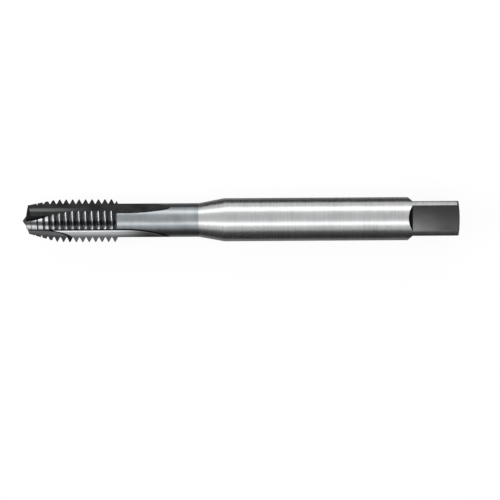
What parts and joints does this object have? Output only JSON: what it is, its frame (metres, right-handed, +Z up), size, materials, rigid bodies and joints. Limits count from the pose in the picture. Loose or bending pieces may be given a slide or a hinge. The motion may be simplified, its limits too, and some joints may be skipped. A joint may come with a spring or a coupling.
{
  "type": "thread tap",
  "caption": "Machine tap that cuts an internal thread: threaded, fluted and spiral-pointed front, thin neck, round shank and driving square.",
  "frame": {"origin": "on the surface the tap lies on, under the middle of its whole length; its round shank can roll there, so the shank's mount holds it in simulation", "axes": "+X along the tap's axis, from the point towards the driving square; +Z up, through the land that lies on top; the tap cuts while it turns by the right-hand rule about -X"},
  "size_m": [0.1012, 0.01, 0.01],
  "materials": {
    "high_speed_steel": "ground, bright on shank and cone, dark blue-grey on thread, flutes and neck"
  },
  "bodies": {
    "root": {"thread_tap": "high_speed_steel"}
  },
  "joints": []
}
